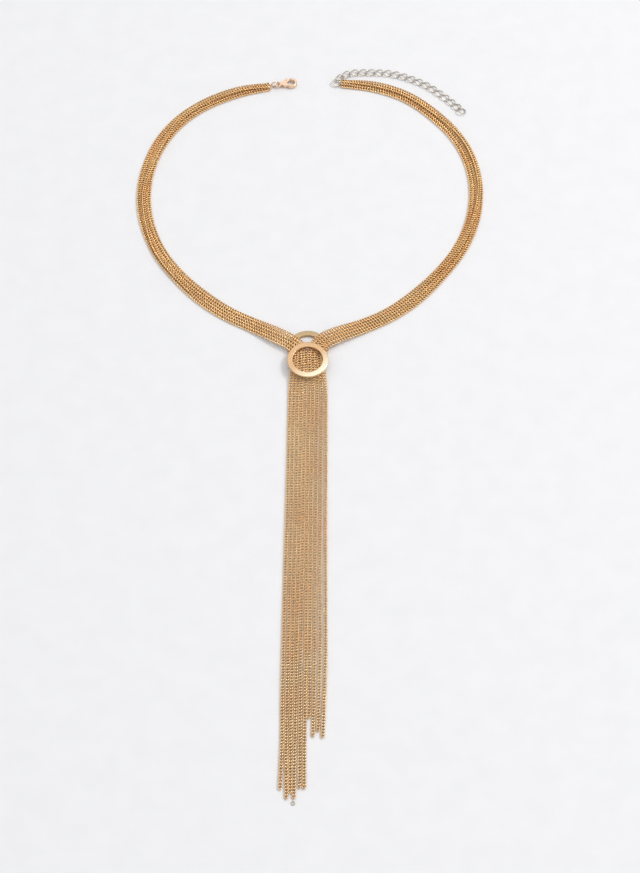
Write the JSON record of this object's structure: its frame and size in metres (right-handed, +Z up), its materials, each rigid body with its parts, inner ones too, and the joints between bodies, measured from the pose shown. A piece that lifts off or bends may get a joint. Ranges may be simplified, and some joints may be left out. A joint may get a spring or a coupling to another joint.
{
  "type": "tassel necklace",
  "caption": "Long Y necklace of fine curb chain strands that pass through a double ring slide and hang as a tassel, with a lobster clasp and an extender.",
  "frame": {"origin": "middle of the underside of the whole necklace's box, on the surface it lies on, just in front of the slide", "axes": "+X across the neck loop, +Y from the tassel's tips to the neck ends, +Z up from the surface"},
  "size_m": [0.1684, 0.3906, 0.0045],
  "materials": {
    "chain": "bright gold-plated fine chain",
    "slide": "polished, light gold plating",
    "clasp": "polished, pale gold plating",
    "fittings": "polished, pale gold plating",
    "extender": "polished, pale champagne plating"
  },
  "bodies": {
    "necklace": {"clasp_body": "clasp", "clasp_jump_ring": "fittings", "end_jump_ring": "extender", "extender_end_ring": "extender", "extender_link_01": "extender", "extender_link_02": "extender", "extender_link_03": "extender", "extender_link_04": "extender", "extender_link_05": "extender", "extender_link_06": "extender", "extender_link_07": "extender", "extender_link_08": "extender", "extender_link_09": "extender", "extender_link_10": "extender", "extender_link_11": "extender", "extender_link_12": "extender", "extender_link_13": "extender", "extender_link_14": "extender", "extender_link_15": "extender", "extender_link_16": "extender", "extender_link_17": "extender", "ring_slide": "slide", "strand_left_1": "chain", "strand_left_2": "chain", "strand_left_3": "chain", "strand_left_4": "chain", "strand_left_5": "chain", "strand_right_1": "chain", "strand_right_2": "chain", "strand_right_3": "chain", "strand_right_4": "chain", "strand_right_5": "chain", "tassel_end_link": "fittings"},
    "lever": {"clasp_lever": "clasp"}
  },
  "joints": [
    {"name": "clasp_lever_hinge", "type": "hinge", "parent": "necklace", "child": "lever", "pos_m": [-0.0129, 0.18646, 0.001], "axis": [0, 0, -1], "range_deg": [0, 25], "stiffness_Nm_per_rad": 0.0005, "springref_deg": -17.19}
  ]
}
